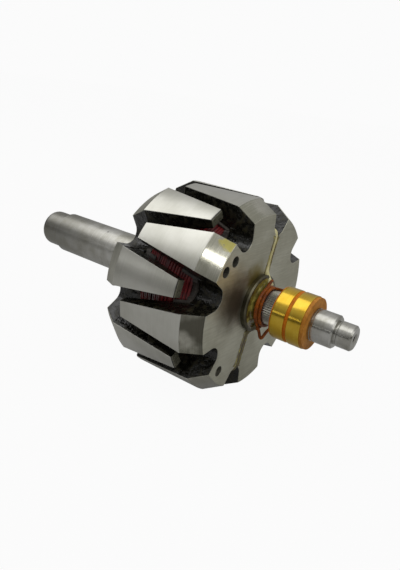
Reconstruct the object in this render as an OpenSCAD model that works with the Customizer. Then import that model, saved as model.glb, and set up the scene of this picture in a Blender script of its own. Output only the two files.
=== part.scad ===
// Claw-pole rotor of a heavy-duty alternator: two interleaved eight-claw pole halves round a
// field coil, on a stepped shaft that carries two slip rings.
// Millimetres. The shaft lies along X, slip rings at +X; the origin is halfway along the shaft.

/* [Shaft] */
// Diameter of the drive-end shaft, the seat of the bearing and pulley
drive_d = 25; // [23:0.5:27]
// Length of the drive-end shaft outside the pole half
drive_length = 81; // [60:1:100]
// Step from the drive-end shaft up to the shoulder under the spacer
shoulder_step = 0.7; // [0.4:0.1:1.5]
// Diameter of the turned-down drive end
drive_end_d = 22.2; // [18:0.2:22.6]
// Length of the turned-down drive end
drive_end_length = 16.4; // [12:0.4:24]
// Rounding of the drive end
drive_end_round = 3.5; // [1:0.25:5]
// Diameter of the knurled middle of the shaft
knurl_d = 18.4; // [18.2:0.2:20]
// Number of knurl teeth
knurl_teeth = 48; // [36:1:60]
// Length of bare shaft between the collar and the slip rings
knurl_length = 12.4; // [11:0.2:16]
// Diameter of the ring-end bearing journal
journal_d = 17; // [15:0.5:17]
// Length of the ring-end bearing journal
journal_length = 12.1; // [9:0.5:16]
// Diameter of the neck between journal and tip
neck_d = 11.8; // [10:0.2:12.4]
// Length of the neck
neck_length = 1.3; // [1:0.1:2.5]
// Diameter of the shaft's ring-end tip
tip_d = 12.9; // [12.6:0.1:14.5]
// Length of the tip
tip_length = 7.6; // [6:0.2:10]
// Diameter of the lathe centre in the tip
centre_d = 3.2; // [2:0.2:4]
// Depth of the lathe centre
centre_depth = 5; // [3:0.5:7]

/* [Pole halves] */
// Number of claws on each pole half
claws = 8; // [8:1:8]
// Outside diameter over the claws
pole_d = 106.6; // [102:0.2:112]
// Length of the pole body, face to face
pole_length = 63.3; // [60:0.5:68]
// Axial length of the bevel between the outside and the end face
bevel_length = 10; // [8:0.5:11]
// How far the bevel falls from the outside to the edge of the end face
bevel_drop = 6.3; // [5:0.1:7.5]
// Thickness of the disc that joins the claws
disc_t = 14; // [12.5:0.5:15]
// Width of a claw at its root, as a share of the claw pitch
claw_root_share = 0.49; // [0.46:0.005:0.51]
// Width of a claw at its tip, as a share of the claw pitch
claw_tip_share = 0.208; // [0.17:0.004:0.24]
// Reach of the claw tip past the middle of the pole body
claw_reach = 16.2; // [12:0.2:17]
// Radial thickness of a claw at its root
claw_root_t = 12.8; // [12:0.1:13.4]
// Radial thickness of a claw at its tip
claw_tip_t = 5; // [4:0.25:6]
// Chamfer on the outer edge of the claw tip
claw_tip_chamfer = 0.8; // [0.4:0.1:1.5]
// Depth of the notch between two lobes, from the outside to its floor
notch_depth = 16.8; // [16.4:0.1:18.5]

/* [Balance drillings] */
// Diameter of the balance drillings in the ring-end face
balance_d = 5.6; // [4:0.2:6.4]
// Depth of the balance drillings
balance_depth = 8; // [4:0.5:10]

/* [Coil and bobbin] */
// Depth of the winding
winding_depth = 10.1; // [8:0.1:13]
// Diameter of the winding wire
wire_d = 1.5; // [1.2:0.05:1.8]
// Wall of the bobbin tube
bobbin_wall = 1.4; // [1:0.1:1.8]
// Thickness of the bobbin's flanges
flange_t = 2.8; // [2:0.1:3.4]
// Thickness of the bobbin's petals under the claws
petal_t = 0.7; // [0.4:0.1:1]
// Length of the petals along the claws
petal_length = 9; // [6:0.5:11]
// Rim of bobbin that shows beside each claw
bobbin_rim = 1.1; // [0.6:0.1:2]

/* [Collars] */
// Wall of the collar against the ring-end face
ring_collar_wall = 6.3; // [5.5:0.1:7]
// Thickness of the ring-end collar
ring_collar_t = 2.8; // [2:0.1:4]
// Wall of the spacer against the drive-end face
spacer_wall = 3.3; // [2.5:0.1:6]
// Thickness of the drive-end spacer
drive_collar_t = 4; // [2.5:0.1:6]
// Width of bare collar round the ring of set varnish
varnish_margin = 1.5; // [1:0.1:2.5]
// Thickness of the set varnish against the shaft
varnish_t = 1.5; // [0.8:0.1:2]

/* [Slip rings] */
// Wall of the insulating sleeve under the slip rings
ring_sleeve_wall = 3.55; // [3:0.05:4.5]
// Radial thickness of a slip ring
ring_t = 1.8; // [1.2:0.1:2.2]
// Width of each slip ring
ring_w = 7.2; // [6:0.1:9]
// Width of the insulating separator between the rings
ridge_w = 1.7; // [1.2:0.1:3]
// Width of the insulating washer at the inner end of the rings
inner_rim_w = 0.6; // [0.4:0.1:1.5]
// Width of the insulating washer at the outer end of the rings
outer_rim_w = 1.6; // [1:0.1:2.5]
// How far the separator and washers lie below the running surface
rim_drop = 0.35; // [0.2:0.05:0.8]
// Room beside each lead in the slot that lets it in under the rings
slot_room = 0.7; // [0.4:0.1:1]

/* [Leads] */
// Distance from the axis to the outside of the slack loop in the upper lead
loop_r = 17.7; // [16:0.1:19]
// Diameter of the copper lead
lead_d = 1.8; // [1.4:0.1:2]
// Diameter of the sleeve on the lead
sleeve_d = 2.8; // [2.4:0.1:3]
// Room beside the sleeve in its groove
groove_room = 0.6; // [0.4:0.1:1]
// Depth of the groove
groove_depth = 3; // [2.8:0.1:4]

/* [Hidden] */
$fn = 96;

steel = "#9b9a94";
forged_steel = "#8c8b83";
dark_steel = "#4a4945";
varnish_olive = "#6b5f26";
winding_red = "#5c1a1e";
bobbin_grey = "#4b4a47";
brass = "#c9a02c";
insulator_orange = "#b3601c";
sleeve_cream = "#d3ca92";
copper_orange = "#a4501f";

full_turn = 360;
// Overrun of every cut past the face that it opens
over = 1;
// Gap left between pieces that lie close but are not pressed together
clearance = 0.3;
// Chamfers on the shaft's ends and steps
shaft_chamfer = 0.8;
drive_step_chamfer = 1.6;
// Relief beside the journal: its depth and width
relief_depth = 0.4;
relief_w = 0.9;
// Depth of the knurl teeth
knurl_tooth = 0.5;
// Solid middle of the knurled length, inside the teeth
knurl_core_r = knurl_d / 2 - 2 * knurl_tooth;
// Depth of the bell mouth of the lathe centre, as a share of its diameter
centre_mouth_share = 0.35;
// How far each lead slot cuts in under the inner slip ring
lead_slot_depth = 2.4;

// Diameters that follow from the shaft's
shoulder_d = drive_d + 2 * shoulder_step;
drive_collar_d = shoulder_d + 2 * spacer_wall;
ring_collar_d = knurl_d + 2 * ring_collar_wall;
varnish_d = ring_collar_d - 2 * varnish_margin;
ring_d = journal_d + 2 * (ring_sleeve_wall + ring_t);

// Positions along X, from the drive end to the ring end
ring_stack = inner_rim_w + ring_w + ridge_w + ring_w + outer_rim_w;
ring_side = ring_collar_t + knurl_length + ring_stack + journal_length + neck_length + tip_length;
shaft_length = drive_end_length + drive_length + pole_length + ring_side;
ring_end_x = shaft_length / 2;
drive_end_x = -shaft_length / 2;
ring_face_x = ring_end_x - ring_side;
pole_mid_x = ring_face_x - pole_length / 2;
drive_face_x = ring_face_x - pole_length;
spacer_face_x = drive_face_x - drive_collar_t;
collar_face_x = ring_face_x + ring_collar_t;
stack_x = collar_face_x + knurl_length;
stack_end_x = stack_x + ring_stack;
journal_end_x = stack_end_x + journal_length;
tip_x = journal_end_x + neck_length;
inner_ring_x = stack_x + inner_rim_w;
ridge_x = inner_ring_x + ring_w;
outer_ring_x = ridge_x + ridge_w;
outer_rim_x = outer_ring_x + ring_w;

// Pole half, measured from the middle of the pole body towards its own face
half_length = pole_length / 2;
disc_inner = half_length - disc_t;
bevel_start = half_length - bevel_length;
face_d = pole_d - 2 * bevel_drop;
claw_step = full_turn / claws;
claw_pitch = PI * pole_d / claws;
claw_root_w = claw_root_share * claw_pitch;
claw_tip_w = claw_tip_share * claw_pitch;
claw_root_r = pole_d / 2 - claw_root_t;
// How far the claw's flanks stand inside the lobe's walls where the two meet, and the width of the
// band of lobe beside the bevel in which they do
flank_inset = 0.12;
lobe_band = 0.5;
// The notch walls run parallel to the claws, so they meet in an apex that the round floor cuts off
notch_floor_r = pole_d / 2 - notch_depth;
notch_half = claw_step / 2;
notch_apex_r = claw_root_w / 2 / sin(notch_half);
notch_round_r = (notch_floor_r - notch_apex_r) * sin(notch_half) / (1 - sin(notch_half));
notch_round_at = notch_floor_r + notch_round_r;
// Turn of the pole halves at which the rotor lies on a bench, on two neighbouring claws: the ring-end one
// is this share of a claw step past the bottom
rest_share = 0.155;
ring_turn = full_turn / 4 + rest_share * claw_step;
drive_turn = ring_turn + notch_half;
// Balance drillings in the ring-end face: turn from the first lobe in lobes, place as a share of the
// face radius, and depth as a share of the full depth
balance_lobe_shares = [1.09, 0.86, 2.91];
balance_place_shares = [0.905, 0.84, 0.885];
balance_depth_shares = [1, 1, 0.3];

// Winding and bobbin
coil_d = pole_d - 2 * (claw_root_t + petal_t + clearance);
core_d = coil_d - 2 * (winding_depth + bobbin_wall);
tube_r = core_d / 2 + bobbin_wall;
coil_half_w = disc_inner - flange_t;
turns = floor(2 * coil_half_w / wire_d);
turn_pitch = 2 * coil_half_w / turns;
// Rise of the claw's underside from root to tip, for each unit of length
claw_slope_share = (claw_root_t - claw_tip_t) / (disc_inner + claw_reach);
petal_rise = claw_slope_share * petal_length;

// Slip rings
seat_r = ring_d / 2 - ring_t;
rim_r = ring_d / 2 - rim_drop;
slot_w = lead_d + 2 * slot_room;
slot_floor_r = journal_d / 2 + clearance;
slot_r = (slot_floor_r + seat_r) / 2;

// Leads: each leaves through the notch between two lobes, at these turns in claw steps from lobe one,
// and its groove leans a little from the radius
upper_notch = -0.5;
lower_notch = 3.5;
upper_turn = ring_turn + upper_notch * claw_step;
lower_turn = ring_turn + lower_notch * claw_step;
upper_lean_share = -0.1;
lower_lean_share = -0.04;
upper_lean = upper_lean_share * claw_step;
lower_lean = lower_lean_share * claw_step;
lead_sides = 8;
sleeve_sides = 10;
lead_steps = 5;
// Sleeve: level in its groove, level on the collar, and its climb between the two; the places are
// shares of the way from notch to hub, the climbs shares of the whole climb
groove_w = sleeve_d + 2 * groove_room;
floor_x = ring_face_x - groove_depth;
sleeve_lift = clearance + sleeve_d / 2;
sleeve_low_x = floor_x + sleeve_lift;
sleeve_high_x = collar_face_x + sleeve_lift;
hub_r = varnish_d / 2 - clearance;
climb_place_shares = [0.5, 0.69, 0.8, 0.91];
climb_shares = [0, 0.14, 0.55, 0.93];
groove_end_share = 0.86;
// The leads lie round the shaft between collar and slip rings, one in front and one behind; the front
// one springs out in a slack loop before it enters its slot. Turns are in claw steps, places in shares
// of the bare length
wrap_r = knurl_d / 2 + clearance + lead_d / 2;
wrap_x = collar_face_x + varnish_t + clearance + lead_d / 2;
wrap_points = 5;
wrap_lead_in = 0.3;
wrap_start = 0.7;
loop_turn_shares = [-0.34, -0.15, -0.36];
loop_place_shares = [0.4, 0.53, 0.74];
loop_out_shares = [0.5, 1, 0.3];
loop_wrap_turn = -0.72;
lower_slot_step = -0.6;
upper_slot_step = -0.25;
lower_slot_turn = lower_turn + lower_slot_step * claw_step;
upper_slot_turn = upper_turn + upper_slot_step * claw_step;
slot_x = stack_x + lead_slot_depth - clearance;

// Turns a profile drawn as [radius, place along the shaft] round the X axis
module along_shaft() {
    rotate([90, 0, 90]) children();
}

module turned(profile) {
    along_shaft() rotate_extrude() polygon(profile);
}

// Points along a smooth curve through the given points
function spline_point(a, b, c, d, t) =
    0.5 * (2 * b + (c - a) * t + (2 * a - 5 * b + 4 * c - d) * t * t
           + (3 * b - a - 3 * c + d) * t * t * t);
function spline(p, steps) = let (n = len(p)) [
    for (i = [0:n - 2], k = [0:steps - 1])
        spline_point(p[max(i - 1, 0)], p[i], p[i + 1], p[min(i + 2, n - 1)], k / steps),
    p[n - 1]
];
// A place given by its radius, its turn about the shaft and its x
function around(r, turn, x) = [x, r * cos(turn), r * sin(turn)];
// A place on the leaning line from the notch floor to the hub
function leaning(turn, lean, share, x) =
    (1 - share) * around(notch_floor_r, turn, x) + share * around(hub_r, turn + lean, x);
function unit(v) = v / norm(v);
function tangent(p, i) = unit(p[min(i + 1, len(p) - 1)] - p[max(i - 1, 0)]);
function level(u, t) = unit(u - (u * t) * t);
// Directions across the path, each carried on from the one before, so the tube does not twist
function across(p) = [
    for (i = 0, u = level(unit(cross(p[0], [1, 0, 0])), tangent(p, 0)); i < len(p);
         i = i + 1, u = level(u, tangent(p, min(i, len(p) - 1)))) u
];

// A round tube of the given diameter swept along a path
module swept(path, d, sides) {
    n = len(path);
    sideways = across(path);
    points = [
        for (i = [0:n - 1])
            let (u = sideways[i], v = cross(tangent(path, i), u))
                for (k = [0:sides - 1])
                    let (a = full_turn * k / sides)
                        path[i] + d / 2 * (cos(a) * u + sin(a) * v)
    ];
    side_faces = [
        for (i = [0:n - 2], k = [0:sides - 1])
            let (a = i * sides + k, b = i * sides + (k + 1) % sides)
                [a, a + sides, b + sides, b]
    ];
    first_end = [for (k = [0:sides - 1]) k];
    last_end = [for (k = [sides - 1:-1:0]) (n - 1) * sides + k];
    polyhedron(points, concat([first_end], [last_end], side_faces), convexity = 10);
}

module shaft() {
    color(steel) difference() {
        union() {
            drive_end();
            turned([
                [0, drive_end_x + drive_end_length - drive_step_chamfer],
                [drive_end_d / 2, drive_end_x + drive_end_length - drive_step_chamfer],
                [drive_d / 2, drive_end_x + drive_end_length],
                [drive_d / 2, spacer_face_x],
                [shoulder_d / 2, spacer_face_x],
                [shoulder_d / 2, drive_face_x],
                [knurl_core_r, drive_face_x],
                [knurl_core_r, stack_x - over],
                [journal_d / 2, stack_x - over],
                [journal_d / 2, stack_end_x + relief_w],
                [journal_d / 2 - relief_depth, stack_end_x + relief_w],
                [journal_d / 2 - relief_depth, stack_end_x + 2 * relief_w],
                [journal_d / 2, stack_end_x + 2 * relief_w],
                [journal_d / 2, journal_end_x - shaft_chamfer],
                [journal_d / 2 - shaft_chamfer, journal_end_x],
                [neck_d / 2, journal_end_x],
                [neck_d / 2, tip_x],
                [tip_d / 2 - relief_depth, tip_x],
                [tip_d / 2, tip_x + relief_depth],
                [tip_d / 2, ring_end_x - shaft_chamfer],
                [tip_d / 2 - shaft_chamfer, ring_end_x],
                [0, ring_end_x],
            ]);
            knurl();
        }
        lathe_centre();
    }
}

// The turned-down drive end, with its rounded rim
module drive_end() {
    r = drive_end_d / 2;
    straight = drive_end_length - drive_step_chamfer;
    along_shaft() translate([0, 0, drive_end_x]) rotate_extrude() {
        square([r - drive_end_round, straight]);
        translate([0, drive_end_round]) square([r, straight - drive_end_round]);
        intersection() {
            translate([r - drive_end_round, drive_end_round]) circle(drive_end_round);
            square([r, drive_end_length]);
        }
    }
}

module knurl() {
    outline = [
        for (k = [0:2 * knurl_teeth - 1])
            let (r = knurl_d / 2 - (k % 2) * knurl_tooth, a = full_turn / 2 * k / knurl_teeth)
                [r * cos(a), r * sin(a)]
    ];
    translate([drive_face_x, 0, 0]) along_shaft()
        linear_extrude(stack_x - drive_face_x) polygon(outline);
}

module lathe_centre() {
    mouth = centre_d * centre_mouth_share;
    turned([
        [0, ring_end_x - centre_depth],
        [centre_d / 2, ring_end_x - centre_depth],
        [centre_d / 2, ring_end_x - mouth],
        [centre_d / 2 + mouth, ring_end_x],
        [centre_d / 2 + mouth, ring_end_x + over],
        [0, ring_end_x + over],
    ]);
}

// Outline of a claw seen from outside: width across, place along the shaft; margin widens it
module claw_outline(margin) {
    root = claw_root_w / 2 + margin;
    tip = claw_tip_w / 2 + margin;
    polygon([
        [-root, half_length],
        [-root, bevel_start],
        [-tip, -claw_reach],
        [tip, -claw_reach],
        [root, bevel_start],
        [root, half_length],
    ]);
}

// The claw-shaped blocks of one half, which reach out from the axis
module claw_blocks(margin) {
    for (k = [0:claws - 1])
        rotate([0, 0, k * claw_step]) rotate([90, 0, 90])
            linear_extrude(pole_d) claw_outline(margin);
}

// The round-floored notches between the lobes, as one flat pattern; rim narrows them
module notch_pattern(rim) {
    floor_r = notch_round_r - rim;
    far = pole_d;
    wall_x = notch_round_at - floor_r * sin(notch_half);
    wall_y = floor_r * cos(notch_half);
    far_y = wall_y + far * tan(notch_half);
    for (k = [0:claws - 1])
        rotate((k + 0.5) * claw_step) {
            translate([notch_round_at, 0]) circle(floor_r);
            polygon([
                [wall_x, -wall_y],
                [wall_x + far, -far_y],
                [wall_x + far, far_y],
                [wall_x, wall_y],
            ]);
        }
}

// One pole half about Z, its face at +half_length, its first lobe along X
module pole_half() {
    difference() {
        rotate_extrude() polygon([
            [knurl_d / 2, 0],
            [core_d / 2, 0],
            [core_d / 2, disc_inner],
            [claw_root_r + over, disc_inner],
            [claw_root_r + over, bevel_start - lobe_band],
            [pole_d / 2, bevel_start - lobe_band],
            [pole_d / 2, bevel_start],
            [face_d / 2, half_length],
            [knurl_d / 2, half_length],
        ]);
        translate([0, 0, disc_inner - over]) linear_extrude(disc_t + 2 * over) notch_pattern(0);
    }
    intersection() {
        rotate_extrude() polygon([
            [claw_root_r, disc_inner + over],
            [claw_root_r, disc_inner],
            [pole_d / 2 - claw_tip_t, -claw_reach],
            [pole_d / 2 - claw_tip_chamfer, -claw_reach],
            [pole_d / 2, claw_tip_chamfer - claw_reach],
            [pole_d / 2, bevel_start - lobe_band / 2],
            [claw_root_r + 2 * over, half_length - over],
        ]);
        claw_blocks(-flank_inset);
    }
}

// Puts a piece's own Z axis on the shaft, with its first lobe at the given turn
module ring_side_half() {
    translate([pole_mid_x, 0, 0]) rotate([ring_turn, 0, 0]) along_shaft() children();
}

module drive_side_half() {
    translate([pole_mid_x, 0, 0]) rotate([drive_turn, 0, 0]) mirror([1, 0, 0])
        along_shaft() children();
}

module ring_end_pole() {
    color(forged_steel) difference() {
        ring_side_half() pole_half();
        lead_groove(upper_turn, upper_lean);
        lead_groove(lower_turn, lower_lean);
        balance_drillings();
    }
}

module drive_end_pole() {
    color(forged_steel) drive_side_half() pole_half();
}

// The groove of one lead, along the leaning line from the notch towards the hub
module lead_groove(turn, lean) {
    notch_end = leaning(turn, lean, 0, floor_x);
    run = leaning(turn, lean, groove_end_share, floor_x) - notch_end;
    way = atan2(run[2], run[1]);
    translate(notch_end) rotate([way, 0, 0])
        translate([0, -2 * over, -groove_w / 2])
            cube([groove_depth + over, norm(run) + 2 * over, groove_w]);
}

module balance_drillings() {
    for (i = [0:len(balance_lobe_shares) - 1])
        let (depth = balance_depth * balance_depth_shares[i])
            rotate([ring_turn + balance_lobe_shares[i] * claw_step, 0, 0])
                translate([ring_face_x - depth, balance_place_shares[i] * face_d / 2, 0])
                    rotate([0, 90, 0]) cylinder(h = depth + over, d = balance_d);
}

module ring_end_collar() {
    color(dark_steel) turned([
        [knurl_d / 2, ring_face_x],
        [ring_collar_d / 2, ring_face_x],
        [ring_collar_d / 2, collar_face_x - shaft_chamfer],
        [ring_collar_d / 2 - shaft_chamfer, collar_face_x],
        [knurl_d / 2, collar_face_x],
    ]);
}

// Set varnish on the collar's face, thickest against the shaft
module hub_varnish() {
    color(varnish_olive) turned([
        [knurl_d / 2, collar_face_x],
        [varnish_d / 2, collar_face_x],
        [wrap_r + lead_d / 2, collar_face_x + clearance],
        [wrap_r - lead_d / 2, collar_face_x + varnish_t],
        [knurl_d / 2, collar_face_x + varnish_t],
    ]);
}

module drive_end_spacer() {
    color(steel) turned([
        [shoulder_d / 2, drive_face_x],
        [drive_collar_d / 2, drive_face_x],
        [drive_collar_d / 2, spacer_face_x + shaft_chamfer],
        [drive_collar_d / 2 - shaft_chamfer, spacer_face_x],
        [shoulder_d / 2, spacer_face_x],
    ]);
}

// Flange and petals at one end of the bobbin, about Z; the petals follow the undersides of the claws
module bobbin_flange() {
    difference() {
        translate([0, 0, coil_half_w]) cylinder(h = flange_t, r = coil_d / 2 + petal_t / 2);
        translate([0, 0, coil_half_w - over])
            linear_extrude(flange_t + 2 * over) notch_pattern(bobbin_rim);
        translate([0, 0, coil_half_w - over]) cylinder(h = flange_t + 2 * over, d = core_d);
    }
    intersection() {
        rotate_extrude() polygon([
            [coil_d / 2 + petal_rise, disc_inner - petal_length],
            [coil_d / 2 + petal_rise + petal_t, disc_inner - petal_length],
            [coil_d / 2 + petal_t, disc_inner - petal_t],
            [coil_d / 2, disc_inner - petal_t],
        ]);
        claw_blocks(bobbin_rim);
    }
}

module ring_end_flange() {
    color(bobbin_grey) ring_side_half() bobbin_flange();
}

module drive_end_flange() {
    color(bobbin_grey) drive_side_half() bobbin_flange();
}

module bobbin_tube() {
    color(bobbin_grey) turned([
        [core_d / 2, pole_mid_x - coil_half_w],
        [tube_r, pole_mid_x - coil_half_w],
        [tube_r, pole_mid_x + coil_half_w],
        [core_d / 2, pole_mid_x + coil_half_w],
    ]);
}

// The winding, with the round backs of its outer layer of turns
module field_coil() {
    back_r = coil_d / 2 - wire_d / 2;
    color(winding_red) along_shaft() translate([0, 0, pole_mid_x - coil_half_w]) rotate_extrude() {
        translate([tube_r, 0]) square([back_r - tube_r, 2 * coil_half_w]);
        for (k = [0:turns - 1])
            translate([back_r, (k + 0.5) * turn_pitch]) circle(d = wire_d, $fn = 24);
    }
}

// The tube that insulates the slip rings from the shaft, slotted where the leads come in
module slip_ring_sleeve() {
    color(insulator_orange) difference() {
        turned([
            [journal_d / 2, stack_x],
            [seat_r, stack_x],
            [seat_r, outer_rim_x],
            [journal_d / 2, outer_rim_x],
        ]);
        for (turn = [upper_slot_turn, lower_slot_turn])
            rotate([turn, 0, 0])
                translate([stack_x - over, slot_floor_r, -slot_w / 2])
                    cube([lead_slot_depth + over, seat_r - slot_floor_r + over, slot_w]);
    }
}

// A ring round the shaft between two radii, from x over the given width
module band(inner_r, outer_r, x, w) {
    turned([
        [inner_r, x],
        [outer_r, x],
        [outer_r, x + w],
        [inner_r, x + w],
    ]);
}

module inner_insulator() {
    color(insulator_orange) band(seat_r, rim_r, stack_x, inner_rim_w);
}

module inner_slip_ring() {
    color(brass) band(seat_r, ring_d / 2, inner_ring_x, ring_w);
}

module ring_separator() {
    color(insulator_orange) band(seat_r, rim_r, ridge_x, ridge_w);
}

module outer_slip_ring() {
    color(brass) band(seat_r, ring_d / 2, outer_ring_x, ring_w);
}

module outer_insulator() {
    color(insulator_orange) band(journal_d / 2, rim_r, outer_rim_x, outer_rim_w);
}

// A sleeve on a lead: over the edge of the collar, along its groove and down through the notch
module lead_sleeve(turn, lean) {
    bend = sleeve_lift + clearance;
    corner = full_turn / 8;
    climb = sleeve_high_x - sleeve_low_x;
    path = concat(
        [leaning(turn, lean, 1, sleeve_high_x)],
        [for (i = [len(climb_shares) - 1:-1:0])
            leaning(turn, lean, climb_place_shares[i], sleeve_low_x + climb_shares[i] * climb)],
        [
            around(notch_floor_r, turn, sleeve_low_x),
            around(notch_floor_r + bend * cos(corner), turn, floor_x + bend * sin(corner)),
            around(notch_floor_r + sleeve_lift, turn, floor_x),
            around(notch_floor_r + sleeve_lift, turn, pole_mid_x + disc_inner + clearance),
        ]);
    color(sleeve_cream) swept(spline(path, lead_steps), sleeve_d, sleeve_sides);
}

module upper_lead_sleeve() {
    lead_sleeve(upper_turn, upper_lean);
}

module lower_lead_sleeve() {
    lead_sleeve(lower_turn, lower_lean);
}

// A lead's way from the end of its sleeve onto the shaft and round it, up to the given turn
function lead_start(hub_turn, last_turn) = concat(
    [
        around(hub_r - clearance, hub_turn, sleeve_high_x),
        around((hub_r + wrap_r) / 2, hub_turn + wrap_lead_in * claw_step, (sleeve_high_x + wrap_x) / 2),
    ],
    let (first_turn = hub_turn + wrap_start * claw_step)
        [for (k = [0:wrap_points])
            around(wrap_r, first_turn + (last_turn - first_turn) * k / wrap_points, wrap_x)]);

// The upper lead: in front of the shaft, out in a slack loop, and into the lower slot
module upper_lead() {
    spring = loop_r - lead_d / 2 - wrap_r;
    path = concat(
        lead_start(upper_turn + upper_lean, lower_turn + loop_wrap_turn * claw_step),
        [for (i = [0:len(loop_turn_shares) - 1])
            around(wrap_r + loop_out_shares[i] * spring,
                   lower_turn + loop_turn_shares[i] * claw_step,
                   collar_face_x + loop_place_shares[i] * knurl_length)],
        [
            around(slot_r, lower_slot_turn, stack_x - lead_d / 2),
            around(slot_r, lower_slot_turn, slot_x),
        ]);
    color(copper_orange) swept(spline(path, lead_steps), lead_d, lead_sides);
}

// The lower lead: behind the shaft and into the upper slot
module lower_lead() {
    last_turn = upper_slot_turn + full_turn;
    path = concat(
        lead_start(lower_turn + lower_lean, last_turn - wrap_lead_in * claw_step),
        [
            around(slot_r, last_turn, stack_x - lead_d),
            around(slot_r, last_turn, slot_x),
        ]);
    color(copper_orange) swept(spline(path, lead_steps), lead_d, lead_sides);
}

shaft();
ring_end_pole();
drive_end_pole();
ring_end_collar();
drive_end_spacer();
hub_varnish();
ring_end_flange();
drive_end_flange();
bobbin_tube();
field_coil();
slip_ring_sleeve();
inner_insulator();
inner_slip_ring();
ring_separator();
outer_slip_ring();
outer_insulator();
upper_lead_sleeve();
lower_lead_sleeve();
upper_lead();
lower_lead();
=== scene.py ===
"""Claw-pole alternator rotor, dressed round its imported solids.

Metres, in the frame of the solids: the shaft lies along X with the slip rings at +X, Z is up, and the
rotor lies on a bench on two of its claws.
"""

import logging
import math
import random
from dataclasses import dataclass, field, replace
from enum import Enum
from typing import Any, Iterable, Optional, Sequence, Union

import bmesh
import bpy
from mathutils import Euler, Matrix, Vector, noise


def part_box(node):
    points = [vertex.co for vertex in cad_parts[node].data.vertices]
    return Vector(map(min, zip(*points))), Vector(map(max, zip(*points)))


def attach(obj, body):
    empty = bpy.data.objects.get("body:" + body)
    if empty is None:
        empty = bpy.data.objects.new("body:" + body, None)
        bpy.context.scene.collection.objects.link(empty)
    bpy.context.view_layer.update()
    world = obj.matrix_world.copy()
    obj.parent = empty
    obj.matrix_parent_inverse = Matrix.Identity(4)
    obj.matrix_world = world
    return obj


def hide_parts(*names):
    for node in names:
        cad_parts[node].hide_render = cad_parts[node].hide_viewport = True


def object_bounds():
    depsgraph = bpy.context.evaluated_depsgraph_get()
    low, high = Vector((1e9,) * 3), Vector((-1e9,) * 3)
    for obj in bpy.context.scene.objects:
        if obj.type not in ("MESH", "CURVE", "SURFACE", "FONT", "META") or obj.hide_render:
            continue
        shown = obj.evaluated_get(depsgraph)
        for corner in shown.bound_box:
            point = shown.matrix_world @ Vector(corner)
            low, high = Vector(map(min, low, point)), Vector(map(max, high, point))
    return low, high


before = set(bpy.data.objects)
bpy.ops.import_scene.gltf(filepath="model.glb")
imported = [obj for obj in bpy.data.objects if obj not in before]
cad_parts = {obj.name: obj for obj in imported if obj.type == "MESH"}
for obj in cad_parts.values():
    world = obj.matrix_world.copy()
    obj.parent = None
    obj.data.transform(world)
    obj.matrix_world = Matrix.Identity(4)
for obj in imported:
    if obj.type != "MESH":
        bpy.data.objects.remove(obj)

CAD_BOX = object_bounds()
MM = 0.001
ROOT = "root"
RING_TURN_DEG = 96.975
MERGE_DISTANCE = 0.002 * MM
FLAT_DEG = 0.4
TUBE_SHARP_DEG = 60.0
TONE_LAYER = "tone"
LOG = logging.getLogger("rotor")

Colour = tuple[float, float, float]


class Half(Enum):
    """The two pole halves, by the way that their faces look along X."""

    RING_END = 1
    DRIVE_END = -1


class Light(Enum):
    """The lamps of the studio."""

    KEY = "key_lamp"
    FILL = "fill_lamp"
    SIDE = "side_lamp"
    TOP = "top_lamp"


def srgb(red: int, green: int, blue: int) -> Colour:
    """Turn a screen colour of 0 to 255 into the linear colour that shaders use.

    Args:
        red: Red of the screen colour.
        green: Green of the screen colour.
        blue: Blue of the screen colour.

    Returns:
        The linear colour.
    """
    def linear(value: int) -> float:
        """Undo the screen curve for one channel."""
        share = value / 255
        return share / 12.92 if share <= 0.04045 else ((share + 0.055) / 1.055) ** 2.4

    return linear(red), linear(green), linear(blue)


class Value:
    """A shader socket that Python arithmetic works on."""

    def __init__(self, graph: "Graph", socket: bpy.types.NodeSocket) -> None:
        """Keep the socket and the graph that it belongs to."""
        self.graph = graph
        self.socket = socket

    def __add__(self, other: "Number") -> "Value":
        """Sum of two values."""
        return self.graph.math("ADD", self, other)

    def __radd__(self, other: "Number") -> "Value":
        """Sum with a number in front."""
        return self.graph.math("ADD", other, self)

    def __sub__(self, other: "Number") -> "Value":
        """Difference of two values."""
        return self.graph.math("SUBTRACT", self, other)

    def __rsub__(self, other: "Number") -> "Value":
        """Difference from a number."""
        return self.graph.math("SUBTRACT", other, self)

    def __mul__(self, other: "Number") -> "Value":
        """Product of two values."""
        return self.graph.math("MULTIPLY", self, other)

    def __rmul__(self, other: "Number") -> "Value":
        """Product with a number in front."""
        return self.graph.math("MULTIPLY", other, self)

    def __truediv__(self, other: "Number") -> "Value":
        """Quotient of two values."""
        return self.graph.math("DIVIDE", self, other)

    def __abs__(self) -> "Value":
        """Size without sign."""
        return self.graph.math("ABSOLUTE", self)

    def __neg__(self) -> "Value":
        """Value with its sign turned."""
        return self.graph.math("MULTIPLY", self, -1.0)


Number = Union[Value, float, int]
Input = Union[Value, float, int, Sequence[float]]


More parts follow.
